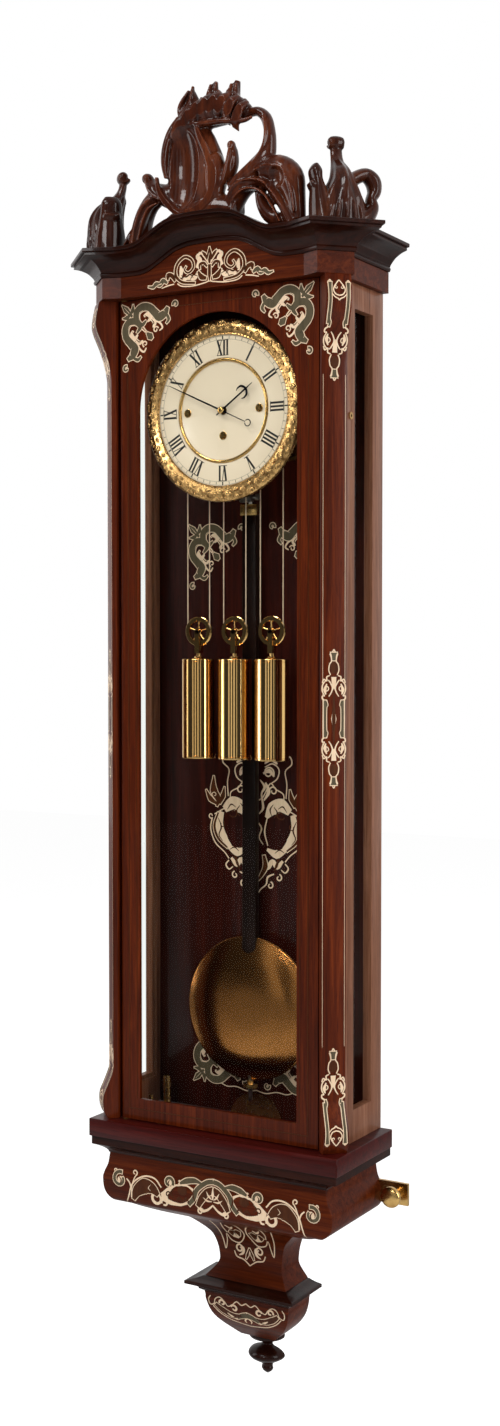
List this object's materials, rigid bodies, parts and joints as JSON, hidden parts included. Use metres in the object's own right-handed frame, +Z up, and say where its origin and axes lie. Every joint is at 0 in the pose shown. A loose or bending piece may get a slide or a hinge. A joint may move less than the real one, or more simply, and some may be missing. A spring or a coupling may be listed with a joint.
{
  "type": "vienna regulator wall clock",
  "caption": "Tall glazed wall clock with a weight-driven movement, pendulum, inlaid case, shaped drop base and carved crest.",
  "frame": {"origin": "the point on the plane of the wall where the clock's brass hanging plate rests on its hook", "axes": "+Z up, +Y into the wall, +X to the right of someone who faces the clock"},
  "size_m": [0.3892, 0.1601, 1.4148],
  "materials": {
    "veneer": "dark red-brown polished veneer with light and grey inlay",
    "ebonised": "black polished wood",
    "carved_wood": "carved and polished dark red-brown wood",
    "brass": "polished and lacquered brass",
    "cast_gilt": "cast and gilt brass",
    "enamel": "white glazed enamel with black numerals",
    "steel": "polished steel",
    "black_steel": "blued steel, nearly black",
    "glass": "clear polished pane",
    "gut": "twisted gut line"
  },
  "bodies": {
    "case": {"back_board": "veneer", "hanging_plate": "brass", "left_side": "veneer", "right_side": "veneer", "left_side_glass": "glass", "right_side_glass": "glass", "left_pilaster": "veneer", "right_pilaster": "veneer", "plinth": "ebonised", "bombe_base": "veneer", "bowl": "veneer", "drop_finial": "ebonised", "frieze": "veneer", "cornice": "ebonised", "crest_carving": "carved_wood", "left_finial": "carved_wood", "right_finial": "carved_wood", "beat_plate": "ebonised", "left_levelling_bracket": "brass", "right_levelling_bracket": "brass", "upper_door_pivot": "brass", "lower_door_pivot": "brass", "movement_bracket": "steel", "back_plate": "brass", "front_plate": "brass", "dial": "enamel", "dial_ring": "brass", "bezel": "cast_gilt", "gong_set": "steel", "left_line": "gut", "middle_line": "gut", "right_line": "gut"},
    "door": {"door_frame": "veneer", "door_glass": "glass", "door_keeper": "brass"},
    "catch": {"door_catch": "brass"},
    "left_levelling_screw": {"left_levelling_shank": "steel"},
    "left_levelling_head": {"left_levelling_knob": "brass"},
    "right_levelling_screw": {"right_levelling_shank": "steel"},
    "right_levelling_head": {"right_levelling_knob": "brass"},
    "quarter_barrel": {"quarter_barrel": "brass"},
    "going_barrel": {"going_barrel": "brass"},
    "hour_barrel": {"hour_barrel": "brass"},
    "centre_arbor": {"centre_arbor": "brass"},
    "third_arbor": {"third_wheel": "brass"},
    "escape_arbor": {"escape_wheel": "brass"},
    "anchor": {"anchor": "steel"},
    "minute_hand": {"minute_hand": "black_steel"},
    "hour_hand": {"hour_hand": "black_steel"},
    "pendulum": {"pendulum_rod": "ebonised"},
    "bob": {"pendulum_bob": "brass"},
    "rating_nut": {"rating_nut": "brass"},
    "left_weight": {"left_weight": "brass"},
    "left_pulley": {"left_pulley": "brass"},
    "middle_weight": {"middle_weight": "brass"},
    "middle_pulley": {"middle_pulley": "brass"},
    "right_weight": {"right_weight": "brass"},
    "right_pulley": {"right_pulley": "brass"},
    "hammer": {"hammer": "brass"},
    "winding_crank": {"winding_crank": "steel"}
  },
  "joints": [
    {"name": "door_swing", "type": "hinge", "parent": "case", "child": "door", "pos_m": [-0.1195, -0.1075, -0.43], "axis": [0, 0, -1], "range_deg": [0, 105]},
    {"name": "catch_turn", "type": "hinge", "parent": "case", "child": "catch", "pos_m": [0.1235, -0.0758, -0.118], "axis": [1, 0, 0], "range_deg": [0, 60]},
    {"name": "left_screw_travel", "type": "slide", "parent": "case", "child": "left_levelling_screw", "axis": [0, 1, 0], "range_m": [-0.00125, 0.00375]},
    {"name": "left_knob_turn", "type": "hinge", "parent": "left_levelling_screw", "child": "left_levelling_head", "pos_m": [-0.163, -0.02, -0.948], "axis": [0, 1, 0], "range_deg": [-360, 1080]},
    {"name": "right_screw_travel", "type": "slide", "parent": "case", "child": "right_levelling_screw", "axis": [0, 1, 0], "range_m": [-0.00125, 0.00375]},
    {"name": "right_knob_turn", "type": "hinge", "parent": "right_levelling_screw", "child": "right_levelling_head", "pos_m": [0.163, -0.02, -0.948], "axis": [0, 1, 0], "range_deg": [-360, 1080]},
    {"name": "minute_turn", "type": "hinge", "parent": "case", "child": "minute_hand", "pos_m": [0, -0.1007, -0.1055], "axis": [0, 1, 0], "continuous": true},
    {"name": "hour_turn", "type": "hinge", "parent": "case", "child": "hour_hand", "pos_m": [0, -0.0985, -0.1055], "axis": [0, 1, 0], "continuous": true},
    {"name": "escape_turn", "type": "hinge", "parent": "case", "child": "escape_arbor", "pos_m": [0, -0.053, -0.0695], "axis": [0, 1, 0], "continuous": true},
    {"name": "third_turn", "type": "hinge", "parent": "case", "child": "third_arbor", "pos_m": [0.0149, -0.077, -0.0863], "axis": [0, 1, 0], "continuous": true},
    {"name": "centre_turn", "type": "hinge", "parent": "case", "child": "centre_arbor", "pos_m": [0, -0.081, -0.1055], "axis": [0, 1, 0], "continuous": true},
    {"name": "pendulum_swing", "type": "hinge", "parent": "case", "child": "pendulum", "pos_m": [0, -0.028, -0.0455], "axis": [0, 1, 0], "range_deg": [-2, 2]},
    {"name": "anchor_swing", "type": "hinge", "parent": "case", "child": "anchor", "pos_m": [0, -0.053, -0.0455], "axis": [0, 1, 0], "range_deg": [-2, 2]},
    {"name": "bob_travel", "type": "slide", "parent": "pendulum", "child": "bob", "axis": [0, 0, 1], "range_m": [-0.004, 0.004]},
    {"name": "nut_turn", "type": "hinge", "parent": "bob", "child": "rating_nut", "pos_m": [0, -0.028, -0.843], "axis": [0, 0, 1], "range_deg": [-1800, 1800]},
    {"name": "left_weight_fall", "type": "slide", "parent": "case", "child": "left_weight", "axis": [0, 0, 1], "range_m": [-0.38, 0.13], "deforming": ["left_line"]},
    {"name": "left_pulley_turn", "type": "hinge", "parent": "left_weight", "child": "left_pulley", "pos_m": [-0.046, -0.067, -0.34], "axis": [0, 1, 0], "range_deg": [-540, 1560]},
    {"name": "quarter_barrel_turn", "type": "hinge", "parent": "case", "child": "quarter_barrel", "pos_m": [-0.0445, -0.065, -0.1055], "axis": [0, 1, 0], "range_deg": [-1070, 3120]},
    {"name": "middle_weight_fall", "type": "slide", "parent": "case", "child": "middle_weight", "axis": [0, 0, 1], "range_m": [-0.38, 0.13], "deforming": ["middle_line"]},
    {"name": "middle_pulley_turn", "type": "hinge", "parent": "middle_weight", "child": "middle_pulley", "pos_m": [0, -0.067, -0.34], "axis": [0, 1, 0], "range_deg": [-540, 1560]},
    {"name": "going_barrel_turn", "type": "hinge", "parent": "case", "child": "going_barrel", "pos_m": [0, -0.065, -0.132], "axis": [0, 1, 0], "range_deg": [-1070, 3120]},
    {"name": "right_weight_fall", "type": "slide", "parent": "case", "child": "right_weight", "axis": [0, 0, 1], "range_m": [-0.38, 0.13], "deforming": ["right_line"]},
    {"name": "right_pulley_turn", "type": "hinge", "parent": "right_weight", "child": "right_pulley", "pos_m": [0.046, -0.067, -0.34], "axis": [0, 1, 0], "range_deg": [-540, 1560]},
    {"name": "hour_barrel_turn", "type": "hinge", "parent": "case", "child": "hour_barrel", "pos_m": [0.0445, -0.065, -0.1055], "axis": [0, 1, 0], "range_deg": [-1070, 3120]},
    {"name": "hammer_swing", "type": "hinge", "parent": "case", "child": "hammer", "pos_m": [-0.033, -0.034, -0.045], "axis": [0, 1, 0], "range_deg": [-15, 0]},
    {"name": "crank_lift", "type": "slide", "parent": "case", "child": "winding_crank", "axis": [0, 0, 1], "range_m": [0, 0.06]}
  ],
  "couplings": [
    {"joint": "left_pulley_turn", "follows": "left_weight_fall", "rad_per_m": -71.429},
    {"joint": "quarter_barrel_turn", "follows": "left_weight_fall", "rad_per_m": -142.86},
    {"joint": "middle_pulley_turn", "follows": "middle_weight_fall", "rad_per_m": -71.429},
    {"joint": "going_barrel_turn", "follows": "middle_weight_fall", "rad_per_m": -142.86},
    {"joint": "right_pulley_turn", "follows": "right_weight_fall", "rad_per_m": -71.429},
    {"joint": "hour_barrel_turn", "follows": "right_weight_fall", "rad_per_m": -142.86},
    {"joint": "hour_turn", "follows": "minute_turn", "ratio": 0.083333},
    {"joint": "third_turn", "follows": "escape_turn", "ratio": -0.11111},
    {"joint": "centre_turn", "follows": "escape_turn", "ratio": 0.013889},
    {"joint": "anchor_swing", "follows": "pendulum_swing", "ratio": 1},
    {"joint": "nut_turn", "follows": "bob_travel", "rad_per_m": 7853.9},
    {"joint": "left_knob_turn", "follows": "left_screw_travel", "rad_per_m": 5026.5},
    {"joint": "right_knob_turn", "follows": "right_screw_travel", "rad_per_m": 5026.5}
  ]
}
